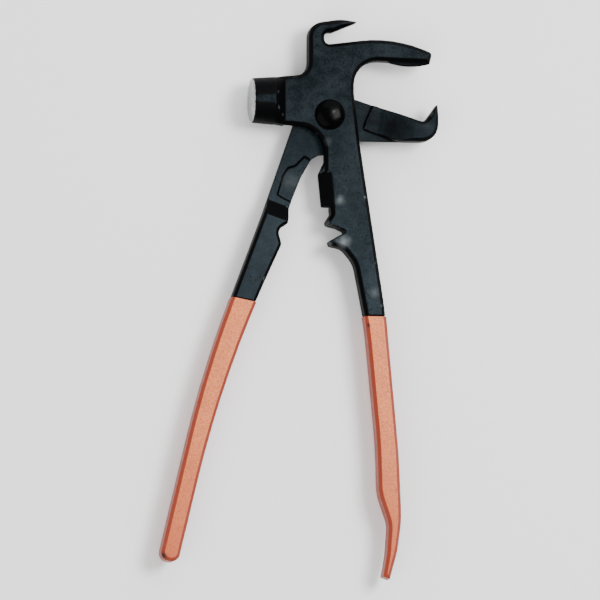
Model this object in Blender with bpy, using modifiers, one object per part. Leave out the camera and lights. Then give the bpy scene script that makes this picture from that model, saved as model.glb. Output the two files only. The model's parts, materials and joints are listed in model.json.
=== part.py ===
"""Two-lever plier hammer: a hammer lever and a claw lever, lap-jointed on a domed rivet, with dipped handles.

Everything is laid out about the rivet's axis: +X to the jaws, +Y to the hook, +Z to the front face, and
Z = 0 on the lap plane where the two levers slide on each other. The finished tool lies flat, front face up.
"""

from math import acos, asin, atan2, ceil, cos, degrees, inf, pi, radians, sin, tan

import bmesh
import bpy
from mathutils import Matrix, Vector

MM = 0.001

# ---- driving dimensions ------------------------------------------------------------------------------
# forgings
THICKNESS = 10.0 * MM          # full thickness of jaws, shanks and handles
EDGE_BEVEL = 1.5 * MM          # chamfer along the forgings' edges
LAP_GAP = 0.3 * MM             # play between the two levers where they lap
LAP_RECESS_ROOM = 3.0 * MM     # radial room round the claw lever's hub behind the hammer lever
ARC_TOLERANCE = 0.05 * MM      # how far a chord may leave its arc

# rivet
SHANK_RADIUS = 4.0 * MM
SHANK_PLAY = 0.3 * MM
HEAD_RADIUS = 7.0 * MM
HEAD_HEIGHT = 2.4 * MM
TAIL_RADIUS = 6.2 * MM
TAIL_HEIGHT = 1.2 * MM
SEAT_GAP = 0.2 * MM            # under the head and under the tail

# hammer poll, turned about a line along X
POLL_AXIS_Y = 6.4 * MM
POLL_FACE_X = -36.6 * MM
POLL_FACE_RADIUS = 10.35 * MM
POLL_ROOT_RADIUS = 11.1 * MM
POLL_LENGTH = 10.8 * MM
POLL_TAPER = 4.8 * MM          # length of the shoulder that runs down to the plate
POLL_SIDES = 48
POLL_RIM = 0.7 * MM
POLL_CROWN = 0.5 * MM

# head of the hammer lever
POLL_NECK_WIDTH = 22.9 * MM
STEM_LEFT = -9.6 * MM
STEM_FILLET = 6.2 * MM
HOOK_TOP = 44.6 * MM
HOOK_TIP_X = 13.5 * MM
HOOK_SHOULDER_RADIUS = 7.0 * MM
SLOT_END_X = -2.3 * MM
SLOT_FLOOR = 32.6 * MM
SLOT_HEIGHT = 6.0 * MM
SLOT_END_RADIUS = 2.4 * MM
JAW_TIP_X = 48.3 * MM
JAW_UNDERSIDE = 25.9 * MM
JAW_NOSE_DEPTH = 5.0 * MM
JAW_CROWN_X = 29.4 * MM
JAW_CROWN_RISE = 4.3 * MM      # from the slot's floor to the corner that the crown rounds
JAW_CROWN_RADIUS = 60.0 * MM
THROAT_RADIUS = 11.3 * MM
THROAT_LEFT = 11.6 * MM
GRIP_LAND_LENGTH = 19.0 * MM   # swollen gripping land under the hammer jaw
GRIP_LAND_DEPTH = 1.4 * MM

# shank of the hammer lever
SHANK_LEFT = -2.4 * MM
CROTCH_RADIUS = 12.0 * MM
BLOCK_TOP = -22.1 * MM         # shear cutter block
BLOCK_BOTTOM = -42.7 * MM
BLOCK_REACH = 2.5 * MM
BLOCK_SLANT = 1.5 * MM
BLOCK_FACE_WIDTH = 5.8 * MM
BLOCK_EDGE_LAND = 1.1 * MM
CUTTER_RELIEF = 0.1 * MM       # extra room over the lap face beside the cutter block
CLEARANCE_TOP = -12.0 * MM     # where the room behind the shank's edge begins
BLOCK_DEEP_TOP = BLOCK_TOP - 1.2 * MM  # below this the block reaches down into the pocket
TOOTH_EDGE = -1.4 * MM         # teeth either side of the V-notch
NOTCH_TOP = -51.0 * MM
NOTCH_WIDTH = 7.5 * MM
NOTCH_DEPTH = 9.4 * MM
BACK_STEP_X = 0.9 * MM         # where the shank gets its full thickness beside the cutter

# claw lever
HUB_RADIUS = 17.9 * MM
HUB_TAIL = 0.8 * MM            # how far the hub runs out past its arc towards the shank
HUB_TAIL_ANGLE = -102.3
HUB_TOP_RADIUS = 11.5 * MM
LAP_STEP_X = 16.0 * MM         # corner of the hollow step where the claw rises from its lap face
LAP_STEP_Y = -6.6 * MM
LAP_STEP_RADIUS = 14.0 * MM
SHOULDER_LEVEL = 1.2 * MM      # height of the claw's lowered front face over the lap plane
CLAW_TOP_SLOPE = -18.0         # degrees
CLAW_BOTTOM = -12.0 * MM
CLAW_HEEL_Y = CLAW_BOTTOM + 0.6 * MM
CLAW_TIP_X = 50.8 * MM
CLAW_TIP_Y = 6.0 * MM
CLAW_VALLEY_X = 44.7 * MM
CLAW_HEEL_RADIUS = 8.0 * MM
CLAW_RAMP_START = 24.0 * MM
CLAW_RAMP_LENGTH = 16.0 * MM
SHANK_SLANT = -109.3           # degrees, direction of the claw lever's shank
SHANK_BACK_OFFSET = 13.7 * MM  # from the rivet's axis to the shank's outer edge
HANDLE_RAMP_START = 46.2 * MM
HANDLE_RAMP_LENGTH = 7.5 * MM
POCKET_RADIUS = 44.2 * MM      # end wall of the cutter pocket, about the rivet's axis
POCKET_DEPTH = 1.1 * MM        # below the lap face
POCKET_EDGE_SLOPE = 0.8 * MM
FINGER_NOTCH_RADIUS = 3.2 * MM

# handles
HAMMER_HANDLE_END = -213.7 * MM
CLAW_HANDLE_END = -207.0 * MM
HAMMER_HANDLE_START = -76.0 * MM  # where the handle's own outline leaves the shank's
CLAW_HANDLE_START = -66.0 * MM
HANDLE_BOW_RADIUS = 530.0 * MM
HANDLE_END_RADIUS = 3.8 * MM
COAT_WALL = 0.6 * MM
COAT_GAP = 0.3 * MM
COAT_PROUD = 0.3 * MM          # how far the coat stands over the bare steel
COAT_BEVEL = 1.4 * MM
CORE_BEVEL = 0.8 * MM          # chamfer along the slimmer core inside the coat
HAMMER_COAT_TOP = -92.6 * MM
CLAW_COAT_TOP = -87.1 * MM

FRONT = THICKNESS / 2
BACK = -THICKNESS / 2
MARGIN = 5.0 * MM              # how far cutters run past what they cut
HANDLE_ROOM = 160.0 * MM       # longer than the handles, for cuts along them
HEAD_ROOM = 60.0 * MM          # longer than what a coat leaves bare, for cuts back from its mouth
CORE_INSET = COAT_WALL + COAT_GAP - COAT_PROUD


# ---- outlines ----------------------------------------------------------------------------------------
def polar(radius, degrees):
    """Point at a radius and an angle about the rivet's axis."""
    return radius * cos(radians(degrees)), radius * sin(radians(degrees))


def rounded(corners):
    """Closed outline through corners (x, y, fillet radius), its fillets as arcs."""
    points = []
    count = len(corners)
    for i, (x, y, radius) in enumerate(corners):
        before, after = corners[i - 1], corners[(i + 1) % count]
        to_before = Vector((before[0] - x, before[1] - y)).normalized()
        to_after = Vector((after[0] - x, after[1] - y)).normalized()
        opening = acos(max(-1.0, min(1.0, to_before.dot(to_after))))
        if radius <= 0 or pi - opening < 0.002:
            points.append((x, y))
            continue
        reach = radius / tan(opening / 2)
        start = Vector((x, y)) + to_before * reach
        centre = Vector((x, y)) + (to_before + to_after).normalized() * radius / sin(opening / 2)
        turn = pi - opening
        if to_before.x * to_after.y - to_before.y * to_after.x > 0:
            turn = -turn
        first = atan2(start.y - centre.y, start.x - centre.x)
        step = 2 * acos(max(0.0, 1 - ARC_TOLERANCE / radius))
        pieces = max(2, ceil(abs(turn) / step))
        for k in range(pieces + 1):
            angle = first + turn * k / pieces
            points.append((centre.x + radius * cos(angle), centre.y + radius * sin(angle)))
    return points


def edge_at(start, end, y):
    """X of the straight edge from start to end at height y."""
    return start[0] + (end[0] - start[0]) * (y - start[1]) / (end[1] - start[1])


# ---- Blender helpers ---------------------------------------------------------------------------------
def clear_scene():
    for thing in list(bpy.data.objects):
        bpy.data.objects.remove(thing, do_unlink=True)


def new_collection(name):
    collection = bpy.data.collections.new(name)
    bpy.context.scene.collection.children.link(collection)
    return collection


def new_material(name, colour, roughness, metallic):
    material = bpy.data.materials.new(name)
    material.use_nodes = True
    shader = material.node_tree.nodes["Principled BSDF"]
    shader.inputs["Base Color"].default_value = (*colour, 1.0)
    shader.inputs["Roughness"].default_value = roughness
    shader.inputs["Metallic"].default_value = metallic
    material.diffuse_color = (*colour, 1.0)
    return material


def new_empty(name, parent=None):
    empty = bpy.data.objects.new(name, None)
    empty.empty_display_size = 10 * MM
    PARTS.objects.link(empty)
    empty.parent = parent
    return empty


def mesh_from_curve(curve_object):
    """A closed mesh object in the curve's place, with its caps welded on."""
    bpy.context.view_layer.update()
    evaluated = curve_object.evaluated_get(bpy.context.evaluated_depsgraph_get())
    mesh = bpy.data.meshes.new_from_object(evaluated)
    body = bmesh.new()
    body.from_mesh(mesh)
    bmesh.ops.remove_doubles(body, verts=body.verts, dist=0.001 * MM)
    bmesh.ops.recalc_face_normals(body, faces=body.faces)
    body.to_mesh(mesh)
    body.free()
    name, place, curve = curve_object.name, curve_object.matrix_world.copy(), curve_object.data
    bpy.data.objects.remove(curve_object)
    bpy.data.curves.remove(curve)
    thing = bpy.data.objects.new(name, mesh)
    thing.matrix_world = place
    return thing


def slab(name, corners, low, high, bevel=0.0, grow=0.0):
    """A flat outline between two levels, grown outwards and chamfered along both faces."""
    curve = bpy.data.curves.new(name + "_outline", "CURVE")
    curve.dimensions = "2D"
    curve.fill_mode = "BOTH"
    points = rounded(corners)
    spline = curve.splines.new("POLY")
    spline.points.add(len(points) - 1)
    for point, (x, y) in zip(spline.points, points):
        point.co = (x, y, 0.0, 1.0)
    spline.use_cyclic_u = True
    curve.extrude = (high - low) / 2 - bevel
    curve.bevel_depth = bevel
    curve.bevel_resolution = 0
    curve.offset = grow - bevel
    outline = bpy.data.objects.new(name, curve)
    outline.location.z = (high + low) / 2
    CUTTERS.objects.link(outline)
    return mesh_from_curve(outline)


def disc(name, radius, low, high):
    """A round bar about the rivet's axis between two levels."""
    mesh = bpy.data.meshes.new(name)
    body = bmesh.new()
    segments = 4 * ceil(pi / 2 / (2 * acos(1 - ARC_TOLERANCE / radius)))
    bmesh.ops.create_cone(
        body, cap_ends=True, segments=segments, radius1=radius, radius2=radius, depth=high - low,
        matrix=Matrix.Translation((0, 0, (high + low) / 2)),
    )
    body.to_mesh(mesh)
    body.free()
    return bpy.data.objects.new(name, mesh)


def turned(name, profile, steps, axis_matrix):
    """A turned solid from a profile (radius, height) that runs down its outer side, top to bottom."""
    mesh = bpy.data.meshes.new(name)
    mesh.from_pydata([(r, 0.0, h) for r, h in profile], [(i, i + 1) for i in range(len(profile) - 1)], [])
    thing = bpy.data.objects.new(name, mesh)
    CUTTERS.objects.link(thing)
    screw = thing.modifiers.new("turn", "SCREW")
    screw.steps = screw.render_steps = steps
    screw.use_merge_vertices = True
    screw.merge_threshold = 0.002 * MM
    bpy.context.view_layer.update()
    evaluated = thing.evaluated_get(bpy.context.evaluated_depsgraph_get())
    solid = bpy.data.meshes.new_from_object(evaluated)
    body = bmesh.new()
    body.from_mesh(solid)
    bmesh.ops.remove_doubles(body, verts=body.verts, dist=0.002 * MM)
    bmesh.ops.recalc_face_normals(body, faces=body.faces)
    body.to_mesh(solid)
    body.free()
    solid.transform(axis_matrix)
    bpy.data.objects.remove(thing)
    return bpy.data.objects.new(name, solid)


def prism(name, section, length, matrix):
    """A straight bar with section points (across, up), laid along its own Y from 0 to length."""
    mesh = bpy.data.meshes.new(name)
    body = bmesh.new()
    ring = [body.verts.new((across, 0.0, up)) for across, up in section]
    face = body.faces.new(ring)
    swept = bmesh.ops.extrude_face_region(body, geom=[face])["geom"]
    moved = [v for v in swept if isinstance(v, bmesh.types.BMVert)]
    bmesh.ops.translate(body, verts=moved, vec=(0.0, length, 0.0))
    bmesh.ops.transform(body, matrix=matrix, verts=body.verts)
    bmesh.ops.recalc_face_normals(body, faces=body.faces)
    body.to_mesh(mesh)
    body.free()
    return bpy.data.objects.new(name, mesh)


def shape_with(target, operation, tool):
    """Adds a Boolean to the target and puts its tool away as a wire guide."""
    if tool.name not in CUTTERS.objects:
        CUTTERS.objects.link(tool)
    tool.parent = target.parent
    tool.hide_render = True
    tool.display_type = "WIRE"
    modifier = target.modifiers.new(tool.name, "BOOLEAN")
    modifier.operation = operation
    modifier.solver = "EXACT"
    modifier.object = tool


def add_part(thing, material, parent):
    """Makes a mesh object one of the tool's pieces."""
    for collection in list(thing.users_collection):
        collection.objects.unlink(thing)
    PARTS.objects.link(thing)
    thing.parent = parent
    thing.data.materials.clear()
    thing.data.materials.append(material)
    return thing


# ---- hammer lever ------------------------------------------------------------------------------------
NECK_TOP = POLL_AXIS_Y + POLL_NECK_WIDTH / 2
NECK_BOTTOM = POLL_AXIS_Y - POLL_NECK_WIDTH / 2
NECK_LEFT = POLL_FACE_X + POLL_LENGTH - 0.7 * MM
NECK_BEND = NECK_LEFT + 5.5 * MM
NECK_SPREAD = 0.8 * MM
JAW_NOSE_TOP = JAW_UNDERSIDE + JAW_NOSE_DEPTH - 1.0 * MM
HAMMER_OUTER_EDGE = (
    (THROAT_LEFT, 10.0 * MM, 20 * MM),
    (14.2 * MM, -12.5 * MM, 60 * MM),
    (25.9 * MM, -89.0 * MM, 200 * MM),
    (32.0 * MM, -156.0 * MM, 200 * MM),
    (33.3 * MM, -186.5 * MM, 60 * MM),
    (31.5 * MM, -200.5 * MM, 40 * MM),
)
HAMMER_INNER_EDGE = (
    (27.1 * MM, -203.0 * MM, 40 * MM),
    (28.1 * MM, -188.5 * MM, 14 * MM),
    (23.3 * MM, -174.5 * MM, 25 * MM),
    (22.7 * MM, -152.0 * MM, 200 * MM),
    (17.6 * MM, -98.0 * MM, 150 * MM),
    (11.9 * MM, -68.5 * MM, 12 * MM),
    (6.4 * MM, -61.7 * MM, 6 * MM),
)


def hammer_handle():
    """Corners of the hammer handle from the shank to the bent prise tip, clockwise."""
    start = HAMMER_HANDLE_START
    return [
        (edge_at(HAMMER_INNER_EDGE[5], HAMMER_INNER_EDGE[4], start), start, 0),
        (edge_at(HAMMER_OUTER_EDGE[1], HAMMER_OUTER_EDGE[2], start), start, 0),
        *hammer_handle_end(),
    ]


def hammer_handle_end():
    """Corners down the handle's outer edge, round the prise tip and back up its inner edge."""
    tip = HAMMER_HANDLE_END
    return [
        *HAMMER_OUTER_EDGE[2:],
        (27.9 * MM, tip, 0),
        (25.3 * MM, tip + 1.0 * MM, 0),
        *HAMMER_INNER_EDGE[:5],
    ]


def hammer_body():
    """Corners of the whole hammer lever, from the poll neck round the jaw and the handle, clockwise."""
    slot_top = SLOT_FLOOR + SLOT_HEIGHT
    return [
        (NECK_LEFT, NECK_TOP - 1.0 * MM, 0),
        (NECK_BEND, NECK_TOP - 0.2 * MM, 0),
        (STEM_LEFT, NECK_TOP + NECK_SPREAD, STEM_FILLET),
        (STEM_LEFT, HOOK_TOP - 2.3 * MM, HOOK_SHOULDER_RADIUS),
        (HOOK_TIP_X - 8.0 * MM, HOOK_TOP, 14 * MM),
        (HOOK_TIP_X, HOOK_TOP - 1.1 * MM, 0),
        (SLOT_END_X + 4.0 * MM, slot_top, 0),
        (SLOT_END_X, slot_top, SLOT_END_RADIUS),
        (SLOT_END_X, SLOT_FLOOR, SLOT_END_RADIUS),
        (JAW_CROWN_X, SLOT_FLOOR + JAW_CROWN_RISE, JAW_CROWN_RADIUS),
        (JAW_TIP_X, JAW_NOSE_TOP, 1.6 * MM),
        (JAW_TIP_X - 1.0 * MM, JAW_UNDERSIDE - 0.8 * MM, 1.6 * MM),
        (THROAT_LEFT, JAW_UNDERSIDE, THROAT_RADIUS),
        *HAMMER_OUTER_EDGE[:2],
        *hammer_handle_end(),
        *HAMMER_INNER_EDGE[5:],
        *teeth(),
        (BACK_STEP_X, BLOCK_BOTTOM - 3.2 * MM, 0.8 * MM),
        (BACK_STEP_X - 0.4 * MM, BLOCK_BOTTOM + 0.3 * MM, 0),
        (SHANK_LEFT, BLOCK_BOTTOM + 0.3 * MM, 0),
        (SHANK_LEFT, NECK_BOTTOM - NECK_SPREAD, CROTCH_RADIUS),
        (NECK_BEND, NECK_BOTTOM + 0.2 * MM, 0),
        (NECK_LEFT, NECK_BOTTOM + 1.0 * MM, 0),
    ]


def poll_solid():
    """The round hammer poll, turned about its own axis along X, with a slightly crowned face."""
    inner = POLL_FACE_X + POLL_LENGTH
    crown_steps = 4
    profile = [(0.0, POLL_FACE_X)]
    for i in range(1, crown_steps + 1):
        share = i / crown_steps
        profile.append(((POLL_FACE_RADIUS - POLL_RIM) * share, POLL_FACE_X + POLL_CROWN * share**2))
    profile.append((POLL_FACE_RADIUS, POLL_FACE_X + POLL_CROWN + POLL_RIM))
    profile.append((POLL_ROOT_RADIUS, inner))
    profile.append((0.0, inner))
    profile = [(radius, -along) for radius, along in profile]
    to_x = Matrix.Translation((0, POLL_AXIS_Y, 0)) @ Matrix.Rotation(-pi / 2, 4, "Y")
    return turned("poll", profile, POLL_SIDES, to_x)


def poll_transition():
    """The forged shoulder that runs from the poll's round section down to the flat plate."""
    inner = POLL_FACE_X + POLL_LENGTH
    outer = inner + POLL_TAPER
    body = bmesh.new()
    for i in range(POLL_SIDES):
        angle = 2 * pi * (i + 0.5) / POLL_SIDES
        radius = POLL_ROOT_RADIUS - 0.1 * MM
        body.verts.new((inner - 0.6 * MM, POLL_AXIS_Y + radius * cos(angle), radius * sin(angle)))
    half = POLL_NECK_WIDTH / 2 - 0.7 * MM
    step = 0.08 * MM
    for side in (1, -1):
        for y, z in ((half, FRONT - EDGE_BEVEL - step), (half - EDGE_BEVEL, FRONT + step)):
            body.verts.new((outer, POLL_AXIS_Y + side * y, z))
            body.verts.new((outer, POLL_AXIS_Y + side * y, -z))
    hull = bmesh.ops.convex_hull(body, input=body.verts)
    bmesh.ops.delete(body, geom=hull["geom_interior"] + hull["geom_unused"], context="VERTS")
    bmesh.ops.recalc_face_normals(body, faces=body.faces)
    mesh = bpy.data.meshes.new("poll_transition")
    body.to_mesh(mesh)
    body.free()
    return bpy.data.objects.new("poll_transition", mesh)


def block_edge():
    """Upper and lower end of the cutter block's edge."""
    top = Vector((SHANK_LEFT - BLOCK_REACH, BLOCK_TOP - 5.6 * MM))
    return top, Vector((top.x + BLOCK_SLANT, BLOCK_BOTTOM))


def cutter_block():
    """The block that stands out of the shank's front half, as a plain slab before its slope is ground."""
    top, bottom = block_edge()
    root = SHANK_LEFT + 4.0 * MM
    shoulder = Vector((SHANK_LEFT, BLOCK_TOP))
    inside = shoulder + (shoulder - top).normalized() * 1.5 * MM
    corners = [(*inside, 0), (root, inside.y, 0), (root, BLOCK_BOTTOM, 0), (*bottom, 0), (*top, 0)]
    return slab("cutter_block", corners, -POCKET_DEPTH - 1.0 * MM, FRONT - 1.0 * MM)


def teeth():
    """Corners of the two teeth beside the V-notch, upwards."""
    low = NOTCH_TOP - NOTCH_WIDTH
    return [
        (TOOTH_EDGE + 1.9 * MM, low - 2.1 * MM, 0),
        (TOOTH_EDGE + 1.2 * MM, low, 0),
        (TOOTH_EDGE, NOTCH_TOP + 1.6 * MM, 0),
    ]


def notch_corners():
    low = NOTCH_TOP - NOTCH_WIDTH
    mouth = TOOTH_EDGE - MARGIN
    return [
        (mouth, NOTCH_TOP + 1.0 * MM, 0),
        (TOOTH_EDGE + 5.0 * MM, NOTCH_TOP - 0.9 * MM, 4.0 * MM),
        (TOOTH_EDGE + NOTCH_DEPTH, NOTCH_TOP - 0.39 * NOTCH_WIDTH, 0.4 * MM),
        (TOOTH_EDGE + 1.2 * MM, low, 0),
        (mouth, low - 3.5 * MM, 0),
    ]


def block_bevel():
    """The long slope ground on the cutter block, from the front face down to its edge."""
    top, bottom = block_edge()
    along = (bottom - top).normalized()
    length = (bottom - top).length + 1.6 * MM
    land = LAP_GAP / 2 + BLOCK_EDGE_LAND
    rise = (FRONT - land) / BLOCK_FACE_WIDTH
    section = [
        (-MARGIN, land - MARGIN * rise),
        (BLOCK_FACE_WIDTH + MARGIN, FRONT + MARGIN * rise),
        (BLOCK_FACE_WIDTH + MARGIN, FRONT + 2 * MARGIN),
        (-MARGIN, FRONT + 2 * MARGIN),
    ]
    across = Vector((-along.y, along.x, 0))
    frame = Matrix.Identity(4)
    frame.col[0][:3] = across
    frame.col[1][:3] = (along.x, along.y, 0)
    start = top + along * -0.4 * MM
    frame.translation = (start.x, start.y, 0)
    return prism("block_bevel_cut", section, length, frame)


def grip_land():
    """The swollen gripping land, a shallow arc under the jaw that deepens towards the back."""
    half = GRIP_LAND_LENGTH / 2
    middle = JAW_TIP_X - 1.0 * MM - half
    radius = (half**2 + GRIP_LAND_DEPTH**2) / (2 * GRIP_LAND_DEPTH)
    sweep = atan2(half, radius - GRIP_LAND_DEPTH)
    steps = 8
    corners = [(middle - half, JAW_UNDERSIDE + 2 * MM, 0), (middle + half, JAW_UNDERSIDE + 2 * MM, 0)]
    for i in range(steps + 1):
        angle = -pi / 2 + sweep * (1 - 2 * i / steps)
        corners.append((
            middle + radius * cos(angle),
            JAW_UNDERSIDE + radius - GRIP_LAND_DEPTH + radius * sin(angle),
            0,
        ))
    land = slab("grip_land", corners, BACK + 0.6 * MM, FRONT - EDGE_BEVEL)
    tilt = atan2(GRIP_LAND_DEPTH, THICKNESS - EDGE_BEVEL)
    hinge = Matrix.Translation((0, JAW_UNDERSIDE, BACK))
    land.data.transform(Matrix.Translation((0, 0, land.location.z)))
    land.location.z = 0
    land.data.transform(hinge @ Matrix.Rotation(tilt, 4, "X") @ hinge.inverted())
    return land


def lap_recess():
    """Room behind the hammer lever's front half for the claw lever's hub."""
    return disc("lap_recess", HUB_RADIUS + LAP_RECESS_ROOM, BACK - MARGIN, LAP_GAP / 2)


def cutter_clearance(name, top, bottom, level):
    """Room behind the shank's inner edge, between two heights, where the claw lever's shank slides."""
    left = SHANK_LEFT - BLOCK_REACH - MARGIN
    corners = [(left, top, 0), (left, bottom, 0), (BACK_STEP_X, bottom, 0), (BACK_STEP_X, top, 0)]
    return slab(name, corners, BACK - MARGIN, level)


def build_hammer_lever(material, parent):
    lever = slab("hammer_lever", hammer_body(), BACK, FRONT, EDGE_BEVEL)
    add_part(lever, material, parent)
    shape_with(lever, "UNION", cutter_block())
    shape_with(lever, "UNION", grip_land())
    shape_with(lever, "UNION", poll_transition())
    shape_with(lever, "UNION", poll_solid())
    shape_with(lever, "DIFFERENCE", slab("v_notch", notch_corners(), BACK - MARGIN, FRONT + MARGIN))
    shape_with(lever, "DIFFERENCE", block_bevel())
    shape_with(lever, "DIFFERENCE", lap_recess())
    over_lap = LAP_GAP / 2 + CUTTER_RELIEF
    in_pocket = LAP_GAP / 2 - POCKET_DEPTH
    shape_with(lever, "DIFFERENCE", cutter_clearance("lap_clearance", CLEARANCE_TOP, BLOCK_DEEP_TOP, over_lap))
    shape_with(lever, "DIFFERENCE", cutter_clearance(
        "pocket_clearance", BLOCK_DEEP_TOP + 0.2 * MM, BLOCK_BOTTOM - 0.3 * MM, in_pocket))
    hole = disc("hammer_rivet_hole", SHANK_RADIUS + SHANK_PLAY, BACK - MARGIN, FRONT + MARGIN)
    shape_with(lever, "DIFFERENCE", hole)
    fit_core(lever, hammer_handle(), hammer_mouth())
    return lever


# ---- claw lever --------------------------------------------------------------------------------------
SHANK_DIRECTION = Vector(polar(1.0, SHANK_SLANT))
SHANK_NORMAL = Vector((SHANK_DIRECTION.y, -SHANK_DIRECTION.x))
CLAW_OUTER_EDGE = (
    (-31.1 * MM, -47.5 * MM, 100 * MM),
    (-57.8 * MM, -118.4 * MM, HANDLE_BOW_RADIUS),
    (-78.7 * MM, CLAW_HANDLE_END + 1.2 * MM, HANDLE_END_RADIUS),
)
CLAW_INNER_EDGE = (
    (-70.7 * MM, CLAW_HANDLE_END - 0.8 * MM, HANDLE_END_RADIUS),
    (-49.3 * MM, -118.4 * MM, HANDLE_BOW_RADIUS),
    (-22.2 * MM, -60.3 * MM, 2.0 * MM),
    (-24.1 * MM, -53.8 * MM, FINGER_NOTCH_RADIUS),
    (-19.2 * MM, -50.5 * MM, 1.8 * MM),
    (-18.3 * MM, -43.3 * MM, 8 * MM),
    (-12.4 * MM, -28.6 * MM, 15 * MM),
    (-7.6 * MM, -20.2 * MM, 3 * MM),
    (*polar(HUB_RADIUS + HUB_TAIL, HUB_TAIL_ANGLE), 0.8 * MM),
)


def claw_top_y(x):
    """Height of the claw's straight top edge, tangent to the hub's top."""
    slope = radians(CLAW_TOP_SLOPE)
    return HUB_TOP_RADIUS / cos(slope) + x * tan(slope)


def claw_top_left():
    """Corner behind the plate where the claw's top edge meets the shank's outer edge."""
    slope = radians(CLAW_TOP_SLOPE)
    top_normal = Vector((-sin(slope), cos(slope)))
    a, b = top_normal, SHANK_NORMAL
    det = a.x * b.y - a.y * b.x
    x = (HUB_TOP_RADIUS * b.y - a.y * SHANK_BACK_OFFSET) / det
    y = (a.x * SHANK_BACK_OFFSET - HUB_TOP_RADIUS * b.x) / det
    return x, y


def claw_body():
    """Corners of the whole claw lever, from the hub round the claw and the handle, clockwise."""
    hub_start = degrees(asin(CLAW_BOTTOM / HUB_RADIUS))
    hub_end = HUB_TAIL_ANGLE + degrees(acos(HUB_RADIUS / (HUB_RADIUS + HUB_TAIL)))
    hub_corner = polar(HUB_RADIUS / cos(radians((hub_start - hub_end) / 2)), (hub_start + hub_end) / 2)
    lead_in = Vector(polar(HUB_RADIUS, hub_start)) + Vector(polar(0.8 * MM, hub_start + 90))
    return [
        (*claw_top_left(), HUB_TOP_RADIUS),
        (CLAW_VALLEY_X, claw_top_y(CLAW_VALLEY_X), 2.5 * MM),
        (CLAW_TIP_X, CLAW_TIP_Y, 0),
        (CLAW_TIP_X + 0.4 * MM, CLAW_TIP_Y - 5.0 * MM, 8 * MM),
        (CLAW_TIP_X + 0.4 * MM, CLAW_HEEL_Y, CLAW_HEEL_RADIUS),
        (*lead_in, 0),
        (*hub_corner, HUB_RADIUS),
        *CLAW_INNER_EDGE[::-1],
        *CLAW_OUTER_EDGE[::-1],
    ]


def claw_handle():
    """Corners of the claw lever's handle, from above the coat to its round end, clockwise."""
    start = CLAW_HANDLE_START
    return [
        (edge_at(CLAW_OUTER_EDGE[0], CLAW_OUTER_EDGE[1], start), start, 0),
        (edge_at(CLAW_INNER_EDGE[2], CLAW_INNER_EDGE[1], start), start, 0),
        *CLAW_INNER_EDGE[1::-1],
        *CLAW_OUTER_EDGE[:0:-1],
    ]


def pocket_corners():
    """The cutter pocket on the shank, open to the inner edge and ending on an arc about the rivet."""
    corners = [
        (-3.4 * MM, -23.6 * MM, 0),
        (-8.4 * MM, -20.2 * MM, 0),
        (-10.9 * MM, -18.5 * MM, 0.8 * MM),
        (-15.4 * MM, -23.2 * MM, 2.0 * MM),
        (-18.8 * MM, -24.1 * MM, 1.5 * MM),
        (-21.2 * MM, -27.9 * MM, 3.0 * MM),
    ]
    for angle in (-122.9, -118.0, -112.0, -106.0, -100.0):
        corners.append((*polar(POCKET_RADIUS, angle), 0))
    return corners


def lap_face_corners():
    """The lap face round the rivet, which ends at the hollow step on the claw."""
    reach = HUB_RADIUS + MARGIN
    return [
        (-reach, reach, 0),
        (LAP_STEP_X + 11.7 * MM, LAP_STEP_Y + 27.7 * MM, 0),
        (LAP_STEP_X, LAP_STEP_Y, LAP_STEP_RADIUS),
        (LAP_STEP_X + 2.0 * MM, -reach, 0),
        (-reach, -reach, 0),
    ]


def ramp_cutter(name, direction, level, ramp_start, ramp_length):
    """Lowers the front face to a level, from the hub out to a ramp that climbs back to full thickness."""
    half = 40.0 * MM
    slope_end = ramp_start + ramp_length
    rise = (FRONT - level) / ramp_length
    section = [
        (0.0, level),
        (ramp_start, level),
        (slope_end + MARGIN, FRONT + MARGIN * rise),
        (0.0, FRONT + MARGIN * rise),
    ]
    along = Vector((*direction, 0)).normalized()
    side = Vector((-along.y, along.x, 0))
    frame = Matrix.Identity(4)
    frame.col[0][:3] = along
    frame.col[1][:3] = side
    frame.translation = -side * half
    return prism(name, section, 2 * half, frame)


def build_claw_lever(material, parent):
    lever = slab("claw_lever", claw_body(), BACK, FRONT, EDGE_BEVEL)
    add_part(lever, material, parent)
    shape_with(lever, "DIFFERENCE", ramp_cutter(
        "handle_ramp_cut", SHANK_DIRECTION, -LAP_GAP / 2, HANDLE_RAMP_START, HANDLE_RAMP_LENGTH))
    shape_with(lever, "DIFFERENCE", ramp_cutter(
        "claw_ramp_cut", (1.0, -0.12), SHOULDER_LEVEL, CLAW_RAMP_START, CLAW_RAMP_LENGTH))
    shape_with(lever, "DIFFERENCE", slab("lap_face", lap_face_corners(), -LAP_GAP / 2, FRONT + MARGIN))
    pocket = slab("cutter_pocket", pocket_corners(), -LAP_GAP / 2 - POCKET_DEPTH, FRONT + MARGIN,
                  POCKET_EDGE_SLOPE)
    shape_with(lever, "DIFFERENCE", pocket)
    hole = disc("claw_rivet_hole", SHANK_RADIUS + SHANK_PLAY, BACK - MARGIN, FRONT + MARGIN)
    shape_with(lever, "DIFFERENCE", hole)
    fit_core(lever, claw_handle(), claw_mouth())
    return lever


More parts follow.
